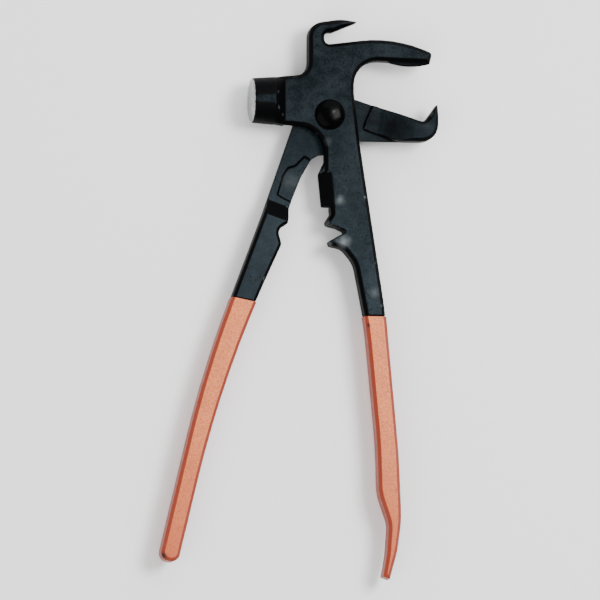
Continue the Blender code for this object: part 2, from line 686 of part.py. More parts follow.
# ---- rivet and coats ---------------------------------------------------------------------------------
def build_rivet(material, parent):
    """Domed head at the front, plain shank and a low peened tail at the back."""
    head_seat = FRONT + SEAT_GAP
    tail_seat = BACK - SEAT_GAP
    dome_steps = 7
    profile = []
    for i in range(dome_steps + 1):
        angle = pi / 2 * i / dome_steps
        profile.append((HEAD_RADIUS * sin(angle), head_seat + 0.4 * MM + (HEAD_HEIGHT - 0.4 * MM) * cos(angle)))
    profile.append((HEAD_RADIUS, head_seat))
    profile.append((SHANK_RADIUS, head_seat))
    profile.append((SHANK_RADIUS, tail_seat))
    profile.append((TAIL_RADIUS, tail_seat))
    for i in range(1, dome_steps):
        angle = pi / 2 * i / (dome_steps - 1)
        profile.append((TAIL_RADIUS * cos(angle), tail_seat - TAIL_HEIGHT * sin(angle)))
    rivet = turned("pivot_rivet", profile, 40, Matrix.Identity(4))
    return add_part(rivet, material, parent)


def hammer_mouth():
    """The two ends of the line across the hammer handle where its coat begins, right to left."""
    return (60 * MM, HAMMER_COAT_TOP), (0.0, HAMMER_COAT_TOP)


def claw_mouth():
    """The two ends of the line across the claw lever's handle where its coat begins, right to left."""
    return (-10 * MM, CLAW_COAT_TOP - 4.6 * MM), (-70 * MM, CLAW_COAT_TOP + 7.2 * MM)


def beyond(name, line, start, length):
    """A cutter on the handle's side of a mouth line, or on the head's side if its length is negative."""
    right, left = Vector(line[0]), Vector(line[1])
    across = (right - left).normalized()
    down = Vector((across.y, -across.x))
    near_right, near_left = right + down * start, left + down * start
    far_right, far_left = near_right + down * length, near_left + down * length
    corners = [(*p, 0) for p in (near_left, near_right, far_right, far_left)]
    return slab(name, corners, BACK - MARGIN, FRONT + MARGIN)


def fit_core(lever, handle, mouth):
    """Ends the full section at the coat's mouth and goes on as the slimmer core inside the coat."""
    shape_with(lever, "DIFFERENCE", beyond(lever.name + "_mouth_cut", mouth, 0.0, HANDLE_ROOM))
    core = slab(lever.name + "_core", handle, BACK + CORE_INSET, FRONT - CORE_INSET, CORE_BEVEL, -CORE_INSET)
    core.parent = lever.parent
    shape_with(core, "DIFFERENCE", beyond(lever.name + "_core_cut", mouth, -2.0 * MM, -HEAD_ROOM))
    shape_with(lever, "UNION", core)


def build_coat(name, handle, mouth, material, parent):
    """A dipped coat: the handle grown outwards, hollowed for its core and cut off at its mouth."""
    coat = slab(name, handle, BACK - COAT_PROUD, FRONT + COAT_PROUD, COAT_BEVEL, COAT_PROUD)
    add_part(coat, material, parent)
    inset = COAT_WALL - COAT_PROUD
    hollow = slab(name + "_hollow", handle, BACK + inset, FRONT - inset, CORE_BEVEL, -inset)
    shape_with(coat, "DIFFERENCE", hollow)
    shape_with(coat, "DIFFERENCE", beyond(name + "_mouth_cut", mouth, COAT_GAP, -HEAD_ROOM))
    return coat


# ---- assembly ----------------------------------------------------------------------------------------
def lay_flat(frame, parts):
    """Moves the tool so that it lies on Z = 0, with the origin under the middle of its outline."""
    bpy.context.view_layer.update()
    depsgraph = bpy.context.evaluated_depsgraph_get()
    low = Vector((inf, inf, inf))
    high = -low
    for part in parts:
        evaluated = part.evaluated_get(depsgraph)
        for vertex in evaluated.to_mesh().vertices:
            point = evaluated.matrix_world @ vertex.co
            low = Vector(map(min, low, point))
            high = Vector(map(max, high, point))
        evaluated.to_mesh_clear()
    frame.location = (-(low.x + high.x) / 2, -(low.y + high.y) / 2, -low.z)
    bpy.context.view_layer.update()


def shade(parts):
    for part in parts:
        part.data.shade_smooth()
        part.data.set_sharp_from_angle(angle=radians(32))


clear_scene()
PARTS = new_collection("plier_hammer")
CUTTERS = new_collection("cutters")

black_steel = new_material("black_oxide_steel", (0.030, 0.042, 0.052), 0.45, 0.6)
rivet_steel = new_material("rivet_steel", (0.010, 0.010, 0.013), 0.35, 0.6)
orange_coat = new_material("orange_dip", (0.69, 0.29, 0.17), 0.5, 0.0)

tool_frame = new_empty("tool_frame")
claw_swing = new_empty("claw_swing", tool_frame)

pieces = [
    build_hammer_lever(black_steel, tool_frame),
    build_coat("hammer_lever_grip", hammer_handle(), hammer_mouth(), orange_coat, tool_frame),
    build_rivet(rivet_steel, tool_frame),
    build_claw_lever(black_steel, claw_swing),
    build_coat("claw_lever_grip", claw_handle(), claw_mouth(), orange_coat, claw_swing),
]
shade(pieces)
lay_flat(tool_frame, pieces)
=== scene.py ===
"""A two-lever plier hammer on a pale table: forged black levers, a blackened rivet and orange dipped handles.

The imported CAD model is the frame. Each lever, coat and the rivet is remade here with the softened edges and
the finish that the real one has, in the CAD node's place.
"""

import json
import logging
import math
from dataclasses import dataclass
from enum import Enum
from typing import Iterable

import bpy
from mathutils import Matrix, Vector


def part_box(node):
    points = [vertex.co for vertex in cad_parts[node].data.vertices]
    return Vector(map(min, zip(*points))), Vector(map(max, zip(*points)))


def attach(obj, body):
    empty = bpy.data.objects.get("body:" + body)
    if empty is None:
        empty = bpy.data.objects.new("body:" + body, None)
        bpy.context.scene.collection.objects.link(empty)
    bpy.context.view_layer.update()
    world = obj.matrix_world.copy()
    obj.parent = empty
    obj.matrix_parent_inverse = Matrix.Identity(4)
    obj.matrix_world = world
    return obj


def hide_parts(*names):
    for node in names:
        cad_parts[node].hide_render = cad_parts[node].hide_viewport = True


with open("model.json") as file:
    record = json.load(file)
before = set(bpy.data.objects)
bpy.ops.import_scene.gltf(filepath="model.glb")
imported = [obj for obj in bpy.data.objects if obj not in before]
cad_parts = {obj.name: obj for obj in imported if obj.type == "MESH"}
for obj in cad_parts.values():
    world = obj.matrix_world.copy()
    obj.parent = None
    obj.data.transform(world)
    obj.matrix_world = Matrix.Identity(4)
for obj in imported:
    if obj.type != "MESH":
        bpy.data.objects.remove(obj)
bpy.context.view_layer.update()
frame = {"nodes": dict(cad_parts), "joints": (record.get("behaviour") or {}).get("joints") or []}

logging.basicConfig(level=logging.INFO, format="%(name)s: %(message)s")
log = logging.getLogger("plier_hammer")

MM = 0.001
PIVOT = Vector(frame["joints"][0]["pos_m"])


class Body(Enum):
    """The two bodies that the rivet joins."""

    HAMMER = "hammer_side"
    CLAW = "claw_side"


class Slot(Enum):
    """The record's material slots."""

    STEEL = "black_steel"
    RIVET = "rivet_steel"
    COAT = "orange_dip"


def from_pivot(x: float, y: float, z: float = 0.0) -> Vector:
    """A point given in millimetres from the rivet's centre, in metres in the row frame.

    Args:
        x: towards the jaws.
        y: towards the hook.
        z: out of the front face, from the lap plane.

    Returns:
        The point.
    """
    return PIVOT + Vector((x, y, z)) * MM


# ---- where the real tool is worn, and where shade and a highlight are painted, in millimetres from the rivet's centre ---
@dataclass(frozen=True)
class RubbedSpot:
    """A round patch where the finish differs. Strength is its share at the middle, from 0 to 1."""

    x: float
    y: float
    z: float
    radius: float
    strength: float = 1.0


@dataclass(frozen=True)
class Scratch:
    """A thin straight scratch between two ends."""

    start: tuple[float, float, float]
    stop: tuple[float, float, float]
    width: float = 0.45
    strength: float = 0.2


HAMMER_RUBBED = (
    RubbedSpot(4.7, -39.5, 5.0, 3.4, 0.55),
    RubbedSpot(6.6, -58.9, 5.0, 4.4, 0.75),
    RubbedSpot(20.8, -82.0, 5.0, 3.6, 0.32),
    RubbedSpot(-0.9, -12.3, 5.0, 3.0, 0.16),
    RubbedSpot(-0.6, -50.2, 3.8, 1.8, 0.55),
    RubbedSpot(0.3, -59.6, 3.8, 1.9, 0.6),
)
HAMMER_SCRATCHES = (
    Scratch((3.3, 23.2, 5.0), (11.0, 17.0, 5.0), strength=0.06),
    Scratch((13.2, 31.0, 5.0), (10.4, 20.0, 5.0), strength=0.035),
    Scratch((2.0, -28.0, 5.0), (9.6, -36.5, 5.0), strength=0.05),
)
CLAW_RUBBED = (
    RubbedSpot(-17.5, -30.5, -1.2, 6.5, 0.19),
    RubbedSpot(46.0, -4.8, 5.0, 4.6, 0.07),
    RubbedSpot(47.4, 1.5, 4.0, 2.2, 0.30),
)
# painted shade: the claw's ramp and the step by the joint disc, turned deep black as shade
CLAW_PAINTED_SHADE = (RubbedSpot(30.0, -4.5, 2.5, 15.0, 0.95), RubbedSpot(19.5, -1.0, 1.2, 8.0, 0.6))
COAT_NICKS = (RubbedSpot(-77.4, -205.0, 4.0, 3.2), RubbedSpot(18.1, -97.1, 4.9, 1.6, 0.9))
# painted highlight: a pale spot on the rivet's dome where a lamp's reflection falls
RIVET_PAINTED_HIGHLIGHT = RubbedSpot(1.4, 1.1, 7.5, 1.1, 0.35)

# Noise scales, in repeats a metre, from the broadest stains to the finest grain.
STAIN_SCALE = 55.0
LENGTHWISE_SCALE = 70.0
FLECK_PATCH_SCALE = 110.0
MOTTLE_SCALE = 260.0
GRIND_SCALE = 260.0
COARSE_GRAIN_SCALE = 300.0
WEAR_SCALE = 340.0
RAGGED_EDGE_SCALE = 420.0
SCRATCH_BREAK_SCALE = 500.0
PIT_SCALE = 620.0
FLECK_SCALE = 900.0
COAT_SPECKLE_SCALE = 1150.0
SPECKLE_SCALE = 1300.0
FINE_GRAIN_SCALE = 1400.0


# ---- shader building ---------------------------------------------------------------------------------
class NodeSheet:
    """Short hand for placing and linking nodes in one tree."""

    def __init__(self, tree: bpy.types.NodeTree) -> None:
        """Args:
        tree: the node tree that new nodes go in.
        """
        self.tree = tree

    def add(self, kind: str, **settings: object) -> bpy.types.Node:
        """Adds a node.

        Args:
            kind: the node's type name, without "ShaderNode".
            settings: its properties.

        Returns:
            The node.
        """
        node = self.tree.nodes.new("ShaderNode" + kind)
        for name, value in settings.items():
            setattr(node, name, value)
        return node

    def link(self, source: object, target: bpy.types.NodeSocket) -> None:
        """Links an output to an input, or sets the input where source is a plain value."""
        if isinstance(source, bpy.types.NodeSocket):
            self.tree.links.new(source, target)
        else:
            target.default_value = source

    def math(
        self, operation: str, first: object, second: object = 0.0, clamp: bool = False
    ) -> bpy.types.NodeSocket:
        """Adds a Math node.

        Args:
            operation: the node's operation.
            first: a socket or a number.
            second: a socket or a number.
            clamp: keeps the result from 0 to 1.

        Returns:
            Its value.
        """
        node = self.add("Math", operation=operation, use_clamp=clamp)
        self.link(first, node.inputs[0])
        self.link(second, node.inputs[1])
        return node.outputs[0]

    def vector(
        self, operation: str, first: object, second: object, output: str = "Vector"
    ) -> bpy.types.NodeSocket:
        """Adds a Vector Math node of two vectors and gives the named output."""
        node = self.add("VectorMath", operation=operation)
        self.link(first, node.inputs[0])
        self.link(second, node.inputs[1])
        return node.outputs[output]

    def smooth(self, value: object, low: float, high: float) -> bpy.types.NodeSocket:
        """Maps a value from low..high smoothly to 0..1."""
        node = self.add("MapRange", interpolation_type="SMOOTHSTEP")
        self.link(value, node.inputs["Value"])
        node.inputs["From Min"].default_value = low
        node.inputs["From Max"].default_value = high
        return node.outputs["Result"]

    def noise(
        self, vector: object, scale: float, detail: float = 3.0, roughness: float = 0.55
    ) -> bpy.types.NodeSocket:
        """Adds a Noise texture and gives its value, from 0 to 1."""
        node = self.add("TexNoise")
        self.link(vector, node.inputs["Vector"])
        node.inputs["Scale"].default_value = scale
        node.inputs["Detail"].default_value = detail
        node.inputs["Roughness"].default_value = roughness
        return node.outputs["Fac"]

    def blend(self, share: object, first: object, second: object) -> bpy.types.NodeSocket:
        """Mixes two colours.

        Args:
            share: how much of the second, from 0 to 1.
            first: a colour or a socket.
            second: a colour or a socket.

        Returns:
            The mixed colour.
        """
        node = self.add("Mix", data_type="RGBA")
        self.link(share, node.inputs[0])
        self.link(first, node.inputs[6])
        self.link(second, node.inputs[7])
        return node.outputs[2]

    def bump(self, height: object, distance: float, strength: float = 1.0) -> bpy.types.NodeSocket:
        """Turns a height into a normal, distance being the relief's depth in metres."""
        node = self.add("Bump")
        node.inputs["Strength"].default_value = strength
        node.inputs["Distance"].default_value = distance
        self.link(height, node.inputs["Height"])
        return node.outputs["Normal"]


def new_group(
    name: str, inputs: Iterable[tuple[str, str, object]], outputs: Iterable[tuple[str, str]]
) -> tuple[bpy.types.NodeTree, NodeSheet, dict[str, bpy.types.NodeSocket], bpy.types.Node]:
    """Starts a shader node group.

    Args:
        name: the group's name.
        inputs: name, socket type and default of each input.
        outputs: name and socket type of each output.

    Returns:
        The group, its sheet, its input sockets by name, and its output node.
    """
    group = bpy.data.node_groups.new(name, "ShaderNodeTree")
    for label, kind, default in inputs:
        socket = group.interface.new_socket(label, in_out="INPUT", socket_type=kind)
        if default is not None:
            socket.default_value = default
    for label, kind in outputs:
        group.interface.new_socket(label, in_out="OUTPUT", socket_type=kind)
    sheet = NodeSheet(group)
    entry = group.nodes.new("NodeGroupInput")
    end = group.nodes.new("NodeGroupOutput")
    return group, sheet, {s.name: s for s in entry.outputs if s.name}, end


class SharedEffects:
    """The node groups that several finishes use, each built once."""

    def __init__(self) -> None:
        """Builds every group."""
        self.flats = self._flats()
        self.mottle = self._mottle()
        self.spot = self._spot()
        self.wear = self._wear()
        self.grain = self._grain()
        self.reach = self._reach()
        self.scratch = self._scratch()

    @staticmethod
    def _flats() -> bpy.types.NodeTree:
        """A mask of the faces that lie square to the tool's thickness: the finishes paint these paler as
        sheen, and the slopes and chamfers off the mask darker as shade.
        """
        group, sheet, inputs, end = new_group(
            "painted_sheen_flats",
            [
                ("Normal", "NodeSocketVector", None),
                ("From", "NodeSocketFloat", 0.975),
                ("To", "NodeSocketFloat", 0.993),
            ],
            [("Mask", "NodeSocketFloat")],
        )
        split = sheet.add("SeparateXYZ")
        sheet.link(inputs["Normal"], split.inputs[0])
        level = sheet.add("MapRange", interpolation_type="SMOOTHSTEP")
        sheet.link(sheet.math("ABSOLUTE", split.outputs[2]), level.inputs["Value"])
        sheet.link(inputs["From"], level.inputs["From Min"])
        sheet.link(inputs["To"], level.inputs["From Max"])
        sheet.link(level.outputs["Result"], end.inputs["Mask"])
        return group

    @staticmethod
    def _mottle() -> bpy.types.NodeTree:
        """Cloudy stains with small dark flecks in them."""
        group, sheet, inputs, end = new_group(
            "oxide_mottle",
            [("Vector", "NodeSocketVector", None), ("Contrast", "NodeSocketFloat", 1.0)],
            [("Cloud", "NodeSocketFloat"), ("Fleck", "NodeSocketFloat")],
        )
        broad = sheet.noise(inputs["Vector"], STAIN_SCALE, 2.0)
        middle = sheet.noise(inputs["Vector"], MOTTLE_SCALE, 4.0, 0.62)
        speckle = sheet.noise(inputs["Vector"], SPECKLE_SCALE, 2.0, 0.5)
        cloud = sheet.math("ADD", sheet.math("MULTIPLY", broad, 0.36), sheet.math("MULTIPLY", middle, 0.34))
        cloud = sheet.math("ADD", cloud, sheet.math("MULTIPLY", speckle, 0.30))
        cloud = sheet.smooth(cloud, 0.38, 0.62)
        centred = sheet.math("MULTIPLY", sheet.math("SUBTRACT", cloud, 0.5), inputs["Contrast"])
        sheet.link(sheet.math("ADD", centred, 0.5, clamp=True), end.inputs["Cloud"])
        fine = sheet.noise(inputs["Vector"], FLECK_SCALE, 3.0, 0.6)
        patch = sheet.smooth(sheet.noise(inputs["Vector"], FLECK_PATCH_SCALE, 2.0), 0.42, 0.58)
        fleck = sheet.math("MULTIPLY", sheet.smooth(fine, 0.52, 0.66), patch)
        sheet.link(fleck, end.inputs["Fleck"])
        return group

    @staticmethod
    def _spot() -> bpy.types.NodeTree:
        """A soft round patch, ragged at its edge: where something has rubbed, and also for patches of painted
        shade and a painted highlight.
        """
        group, sheet, inputs, end = new_group(
            "rubbed_and_painted_light_spot",
            [
                ("Vector", "NodeSocketVector", None),
                ("Centre", "NodeSocketVector", None),
                ("Radius", "NodeSocketFloat", 0.003),
            ],
            [("Mask", "NodeSocketFloat")],
        )
        away = sheet.add("VectorMath", operation="DISTANCE")
        sheet.link(inputs["Vector"], away.inputs[0])
        sheet.link(inputs["Centre"], away.inputs[1])
        share = sheet.math("DIVIDE", away.outputs["Value"], inputs["Radius"])
        ragged = sheet.math("MULTIPLY", sheet.noise(inputs["Vector"], RAGGED_EDGE_SCALE, 3.0), 0.7)
        sheet.link(sheet.smooth(sheet.math("ADD", share, ragged), 1.35, 0.25), end.inputs["Mask"])
        return group

    @staticmethod
    def _wear() -> bpy.types.NodeTree:
        """A broken mask along outer edges, where the finish has rubbed through."""
        group, sheet, inputs, end = new_group(
            "edge_wear",
            [("Vector", "NodeSocketVector", None), ("Amount", "NodeSocketFloat", 0.5)],
            [("Mask", "NodeSocketFloat")],
        )
        shape = sheet.add("NewGeometry")
        edge = sheet.smooth(shape.outputs["Pointiness"], 0.515, 0.57)
        broken = sheet.smooth(sheet.noise(inputs["Vector"], WEAR_SCALE, 4.0, 0.65), 0.38, 0.66)
        wear_and_highlight = sheet.math("MULTIPLY", edge, broken)
        sheet.link(sheet.math("MULTIPLY", wear_and_highlight, inputs["Amount"]), end.inputs["Mask"])
        return group

    @staticmethod
    def _grain() -> bpy.types.NodeTree:
        """The small relief of a scaled and blasted forging, or of a dipped skin at a lower scale."""
        group, sheet, inputs, end = new_group(
            "surface_grain",
            [("Vector", "NodeSocketVector", None), ("Fineness", "NodeSocketFloat", 1.0)],
            [("Height", "NodeSocketFloat")],
        )
        scaled = sheet.add("VectorMath", operation="SCALE")
        sheet.link(inputs["Vector"], scaled.inputs[0])
        sheet.link(inputs["Fineness"], scaled.inputs["Scale"])
        fine = sheet.noise(scaled.outputs[0], FINE_GRAIN_SCALE, 3.0, 0.6)
        coarse = sheet.noise(scaled.outputs[0], COARSE_GRAIN_SCALE, 3.0, 0.5)
        height = sheet.math("ADD", sheet.math("MULTIPLY", fine, 0.45), sheet.math("MULTIPLY", coarse, 0.55))
        sheet.link(height, end.inputs["Height"])
        return group

    @staticmethod
    def _reach() -> bpy.types.NodeTree:
        """A soft change along the tool's length, from 0 at one height to 1 at the other."""
        group, sheet, inputs, end = new_group(
            "change_along_length",
            [
                ("Vector", "NodeSocketVector", None),
                ("From", "NodeSocketFloat", 0.0),
                ("To", "NodeSocketFloat", 1.0),
            ],
            [("Mask", "NodeSocketFloat")],
        )
        split = sheet.add("SeparateXYZ")
        sheet.link(inputs["Vector"], split.inputs[0])
        uneven = sheet.math("MULTIPLY", sheet.noise(inputs["Vector"], LENGTHWISE_SCALE, 2.0), 0.03)
        level = sheet.add("MapRange", interpolation_type="SMOOTHSTEP")
        sheet.link(sheet.math("ADD", split.outputs[1], uneven), level.inputs["Value"])
        sheet.link(inputs["From"], level.inputs["From Min"])
        sheet.link(inputs["To"], level.inputs["From Max"])
        sheet.link(level.outputs["Result"], end.inputs["Mask"])
        return group

    @staticmethod
    def _scratch() -> bpy.types.NodeTree:
        """A thin straight scratch that comes and goes along its run."""
        group, sheet, inputs, end = new_group(
            "thin_scratch",
            [
                ("Vector", "NodeSocketVector", None),
                ("Start", "NodeSocketVector", None),
                ("Run", "NodeSocketVector", None),
                ("Width", "NodeSocketFloat", 0.0003),
            ],
            [("Mask", "NodeSocketFloat")],
        )
        offset = sheet.vector("SUBTRACT", inputs["Vector"], inputs["Start"])
        along = sheet.vector("DOT_PRODUCT", offset, inputs["Run"], "Value")
        whole = sheet.vector("DOT_PRODUCT", inputs["Run"], inputs["Run"], "Value")
        nearest = sheet.add("VectorMath", operation="SCALE")
        sheet.link(inputs["Run"], nearest.inputs[0])
        sheet.link(sheet.math("DIVIDE", along, whole, clamp=True), nearest.inputs["Scale"])
        away = sheet.vector("DISTANCE", offset, nearest.outputs[0], "Value")
        line = sheet.smooth(sheet.math("DIVIDE", away, inputs["Width"]), 1.0, 0.3)
        broken = sheet.smooth(sheet.noise(inputs["Vector"], SCRATCH_BREAK_SCALE, 2.0), 0.36, 0.56)
        sheet.link(sheet.math("MULTIPLY", line, broken), end.inputs["Mask"])
        return group

    @staticmethod
    def place(sheet: NodeSheet, group: bpy.types.NodeTree, **values: object) -> bpy.types.Node:
        """Places a group in a material.

        Args:
            sheet: the material's sheet.
            group: the group.
            values: a value or socket for each named input.

        Returns:
            The group's node.
        """
        node = sheet.add("Group", node_tree=group)
        for name, value in values.items():
            sheet.link(value, node.inputs[name])
        return node

    def spot_mask(self, sheet: NodeSheet, where: object, spot: RubbedSpot) -> bpy.types.NodeSocket:
        """Gives the mask of one round patch, already at the patch's strength."""
        centre = from_pivot(spot.x, spot.y, spot.z)
        patch = self.place(sheet, self.spot, Vector=where, Centre=centre, Radius=spot.radius * MM)
        return sheet.math("MULTIPLY", patch.outputs["Mask"], spot.strength)

    def scratch_mask(self, sheet: NodeSheet, where: object, scratch: Scratch) -> bpy.types.NodeSocket:
        """Gives the mask of one scratch, already at the scratch's strength."""
        start, stop = from_pivot(*scratch.start), from_pivot(*scratch.stop)
        line = self.place(
            sheet, self.scratch, Vector=where, Start=start, Run=stop - start, Width=scratch.width * MM
        )
        return sheet.math("MULTIPLY", line.outputs["Mask"], scratch.strength)

    def reach_mask(
        self, sheet: NodeSheet, where: object, first: float, last: float
    ) -> bpy.types.NodeSocket:
        """Gives a mask that runs from 0 at one height to 1 at another, in millimetres from the rivet."""
        span = self.place(
            sheet, self.reach, Vector=where, From=PIVOT.y + first * MM, To=PIVOT.y + last * MM
        )
        return span.outputs["Mask"]


@dataclass(frozen=True)
class BlackOxide:
    """Black oxide on a forging, with painted light: slopes and chamfers painted deep black as shade, the
    flats painted blue-grey as sheen.

    The flats turn from black to pale between black_from and pale_from, in millimetres from the rivet. A face
    counts as flat between flat_from and flat_to, the upright part of its normal.
    """

    name: str
    # deep is painted shade on slopes and chamfers, and also the colour of dark flecks
    deep: tuple[float, float, float] = (0.0002, 0.0003, 0.0006)
    flat_dark: tuple[float, float, float] = (0.0003, 0.0026, 0.0042)
    flat_pale: tuple[float, float, float] = (0.0190, 0.0285, 0.0345)
    bare: tuple[float, float, float] = (0.11, 0.12, 0.125)
    roughness: float = 0.50
    mottle: float = 1.0
    black_from: float = 30.0
    pale_from: float = -75.0
    wear: float = 0.45
    specular: float = 0.045
    flat_from: float = 0.975
    flat_to: float = 0.993
    spots: tuple[RubbedSpot, ...] = ()
    # patches of the flats painted deep black as shade
    shade_spots: tuple[RubbedSpot, ...] = ()
    scratches: tuple[Scratch, ...] = ()

    def material(self, effects: SharedEffects) -> bpy.types.Material:
        """Builds the material.

        Args:
            effects: the shared node groups.

        Returns:
            The material.
        """
        material = bpy.data.materials.new(self.name)
        material.use_nodes = True
        sheet = NodeSheet(material.node_tree)
        shader = material.node_tree.nodes["Principled BSDF"]
        place = sheet.add("TexCoord")
        where, normal = place.outputs["Object"], place.outputs["Normal"]
        flat = effects.place(
            sheet, effects.flats, Normal=normal, From=self.flat_from, To=self.flat_to
        ).outputs["Mask"]
        mottle = effects.place(sheet, effects.mottle, Vector=where, Contrast=self.mottle)
        wear = effects.place(sheet, effects.wear, Vector=where, Amount=self.wear).outputs["Mask"]
        grain = effects.place(sheet, effects.grain, Vector=where, Fineness=1.0).outputs["Height"]
        # the flats grow paler from the head towards the handles
        paler_share = effects.reach_mask(sheet, where, self.black_from, self.pale_from)
        cloud_share = sheet.math("MULTIPLY", mottle.outputs["Cloud"], 0.42)
        pale = sheet.math("ADD", cloud_share, sheet.math("MULTIPLY", paler_share, 0.50), clamp=True)
        on_flat = sheet.blend(pale, (*self.flat_dark, 1), (*self.flat_pale, 1))
        on_flat = sheet.blend(sheet.math("MULTIPLY", mottle.outputs["Fleck"], 0.60), on_flat, (*self.deep, 1))
        # painted shade: these patches turn the flats deep black where shade falls
        for spot in self.shade_spots:
            on_flat = sheet.blend(effects.spot_mask(sheet, where, spot), on_flat, (*self.deep, 1))
        # painted shade and sheen: by the upright part of the normal, slopes and chamfers take the deep black
        # and the flats their paler blue-grey
        colour = sheet.blend(flat, (*self.deep, 1), on_flat)
        rubbed = wear
        for spot in self.spots:
            rubbed = sheet.math("MAXIMUM", rubbed, effects.spot_mask(sheet, where, spot))
        for scratch in self.scratches:
            rubbed = sheet.math("MAXIMUM", rubbed, effects.scratch_mask(sheet, where, scratch))
        colour = sheet.blend(rubbed, colour, (*self.bare, 1))
        sheet.link(colour, shader.inputs["Base Color"])
        rough = sheet.math("MULTIPLY_ADD", mottle.outputs["Cloud"], -0.12)
        rough.node.inputs[2].default_value = self.roughness + 0.08
        smoother = sheet.math("MULTIPLY", rubbed, 0.10)
        sheet.link(sheet.math("SUBTRACT", rough, smoother), shader.inputs["Roughness"])
        sheet.link(sheet.math("MULTIPLY", rubbed, 0.8), shader.inputs["Metallic"])
        sheet.link(sheet.bump(grain, 0.06 * MM, 0.55), shader.inputs["Normal"])
        shader.inputs["Specular IOR Level"].default_value = self.specular
        return material


@dataclass(frozen=True)
class GroundSteel:
    """The hammer's striking face: bare steel, ground in fine parallel lines and bruised by use."""

    name: str
    pale: tuple[float, float, float] = (0.42, 0.43, 0.42)
    dull: tuple[float, float, float] = (0.22, 0.23, 0.23)
    roughness: float = 0.34
    metallic: float = 0.85
    line_stretch: float = 22.0

    def material(self, effects: SharedEffects) -> bpy.types.Material:
        """Builds the material.

        Args:
            effects: the shared node groups.

        Returns:
            The material.
        """
        material = bpy.data.materials.new(self.name)
        material.use_nodes = True
        sheet = NodeSheet(material.node_tree)
        shader = material.node_tree.nodes["Principled BSDF"]
        place = sheet.add("TexCoord")
        stretched = sheet.add("Mapping")
        stretched.inputs["Scale"].default_value = (1.0, self.line_stretch, 1.0)
        sheet.link(place.outputs["Object"], stretched.inputs["Vector"])
        lines = sheet.noise(stretched.outputs["Vector"], GRIND_SCALE, 3.0, 0.6)
        stained = effects.place(sheet, effects.mottle, Vector=place.outputs["Object"], Contrast=1.0)
        bruise = stained.outputs["Cloud"]
        sheet.link(sheet.blend(bruise, (*self.dull, 1), (*self.pale, 1)), shader.inputs["Base Color"])
        rough = sheet.math("MULTIPLY_ADD", lines, 0.16)
        rough.node.inputs[2].default_value = self.roughness
        sheet.link(rough, shader.inputs["Roughness"])
        sheet.link(sheet.bump(lines, 0.03 * MM, 0.6), shader.inputs["Normal"])
        shader.inputs["Metallic"].default_value = self.metallic
        return material


@dataclass(frozen=True)
class BlackenedRivet:
    """A smooth, oiled black rivet, with a highlight painted on its dome."""

    name: str
    colour: tuple[float, float, float] = (0.0002, 0.0002, 0.0004)
    dusty: tuple[float, float, float] = (0.0014, 0.0016, 0.0019)
    # bare is also the colour of the painted highlight
    bare: tuple[float, float, float] = (0.10, 0.115, 0.12)
    roughness: float = 0.16
    specular: float = 0.03
    # where the painted highlight sits on the dome
    painted_highlight: RubbedSpot = RIVET_PAINTED_HIGHLIGHT

    def material(self, effects: SharedEffects) -> bpy.types.Material:
        """Builds the material.

        Args:
            effects: the shared node groups.

        Returns:
            The material.
        """
        material = bpy.data.materials.new(self.name)
        material.use_nodes = True
        sheet = NodeSheet(material.node_tree)
        shader = material.node_tree.nodes["Principled BSDF"]
        place = sheet.add("TexCoord")
        mottle = effects.place(sheet, effects.mottle, Vector=place.outputs["Object"], Contrast=1.0)
        relief = effects.place(sheet, effects.grain, Vector=place.outputs["Object"], Fineness=0.8)
        grain = relief.outputs["Height"]
        dust = sheet.math("MULTIPLY", mottle.outputs["Cloud"], 0.5)
        # painted highlight: a pale spot where a lamp's reflection falls on the dome
        wear_and_highlight = effects.spot_mask(sheet, place.outputs["Object"], self.painted_highlight)
        colour = sheet.blend(dust, (*self.colour, 1), (*self.dusty, 1))
        colour = sheet.blend(wear_and_highlight, colour, (*self.bare, 1))
        sheet.link(colour, shader.inputs["Base Color"])
        rough = sheet.math("MULTIPLY_ADD", mottle.outputs["Cloud"], 0.06)
        rough.node.inputs[2].default_value = self.roughness
        sheet.link(rough, shader.inputs["Roughness"])
        sheet.link(sheet.bump(grain, 0.01 * MM, 0.3), shader.inputs["Normal"])
        shader.inputs["Specular IOR Level"].default_value = self.specular
        return material


